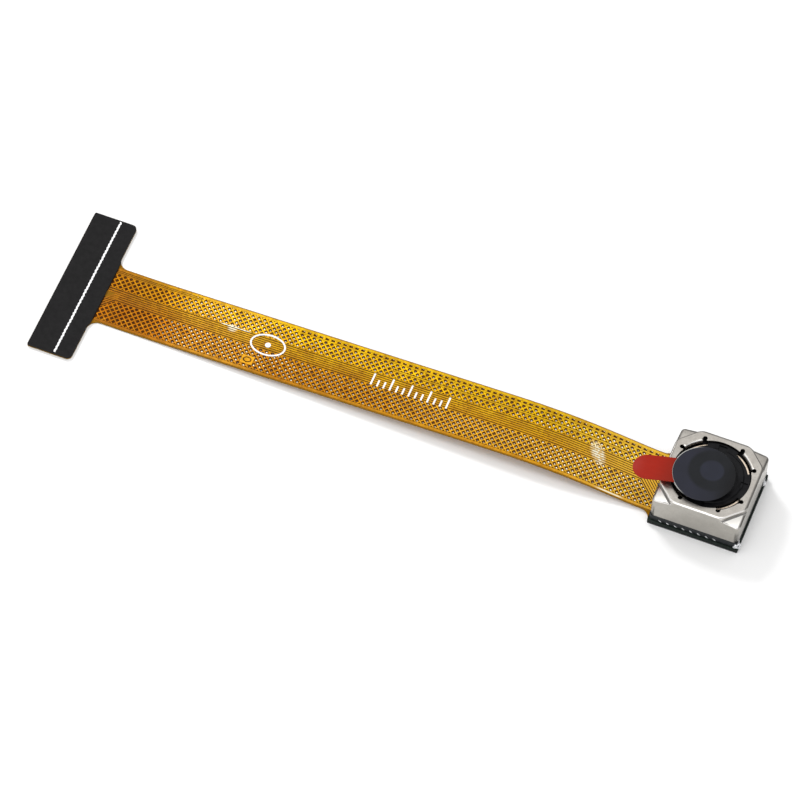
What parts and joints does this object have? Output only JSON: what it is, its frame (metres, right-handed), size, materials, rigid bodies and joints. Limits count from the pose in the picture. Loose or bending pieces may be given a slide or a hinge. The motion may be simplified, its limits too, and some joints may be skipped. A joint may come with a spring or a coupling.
{
  "type": "autofocus camera module",
  "caption": "Small autofocus camera module: square steel-canned lens head on a flat flexible tail with a stiffened contact end.",
  "frame": {"origin": "under the head, on the optical axis", "axes": "+Z along the optical axis towards the scene, +X along the tail from the contacts to the head"},
  "size_m": [0.0689, 0.0164, 0.0051],
  "materials": {
    "stainless": "satin",
    "polyimide_film": "amber, smooth and glossy",
    "flex_copper": "copper seen through amber film",
    "gold_plate": "polished gold plate",
    "black_film": "matt black",
    "white_ink": "screen-printed ink",
    "board_laminate": "dark solder mask",
    "solder": "bright solder",
    "silicon": "polished silicon",
    "sensor_glass": "microlens surface",
    "ceramic": "fired ceramic",
    "black_plastic": "moulded",
    "base_plastic": "moulded",
    "filter_glass": "coated",
    "can_steel": "satin nickel plate",
    "magnet_plate": "nickel plate",
    "spring_copper": "rolled copper alloy",
    "carrier_plastic": "moulded",
    "coil_copper": "enamelled wire",
    "barrel_plastic": "moulded, semi-gloss",
    "lens_glass": "coated",
    "clear_film": "clear polyester film",
    "red_tab": "printed film"
  },
  "bodies": {
    "module": {"head_stiffener": "stainless", "flex_film": "polyimide_film", "copper_traces": "flex_copper", "lattice_rising": "flex_copper", "lattice_falling": "flex_copper", "contact_fingers": "gold_plate", "contact_stiffener": "black_film", "insertion_line": "white_ink", "print_marks": "white_ink", "sensor_board": "board_laminate", "edge_pads": "solder", "image_sensor": "silicon", "pixel_array": "sensor_glass", "chip_capacitors": "ceramic", "driver_chip": "black_plastic", "actuator_base": "base_plastic", "ir_filter": "filter_glass", "yoke_can": "can_steel", "corner_magnets": "magnet_plate", "spring_frame": "black_plastic", "upper_spring": "spring_copper", "lower_spring": "spring_copper", "coil_terminals": "solder", "solder_joints": "solder"},
    "lens_unit": {"lens_carrier": "carrier_plastic", "drive_coil": "coil_copper", "lens_barrel": "barrel_plastic", "front_lens": "lens_glass", "second_lens": "lens_glass", "third_lens": "lens_glass", "fourth_lens": "lens_glass", "rear_lens": "lens_glass", "light_baffles": "black_plastic", "retaining_ring": "black_plastic", "protective_film": "clear_film", "pull_tab": "red_tab"}
  },
  "joints": [
    {"name": "lens_focus", "type": "slide", "parent": "module", "child": "lens_unit", "axis": [0, 0, 1], "range_m": [0, 0.0003], "stiffness_N_per_m": 20, "deforming": ["upper_spring", "lower_spring"]}
  ]
}
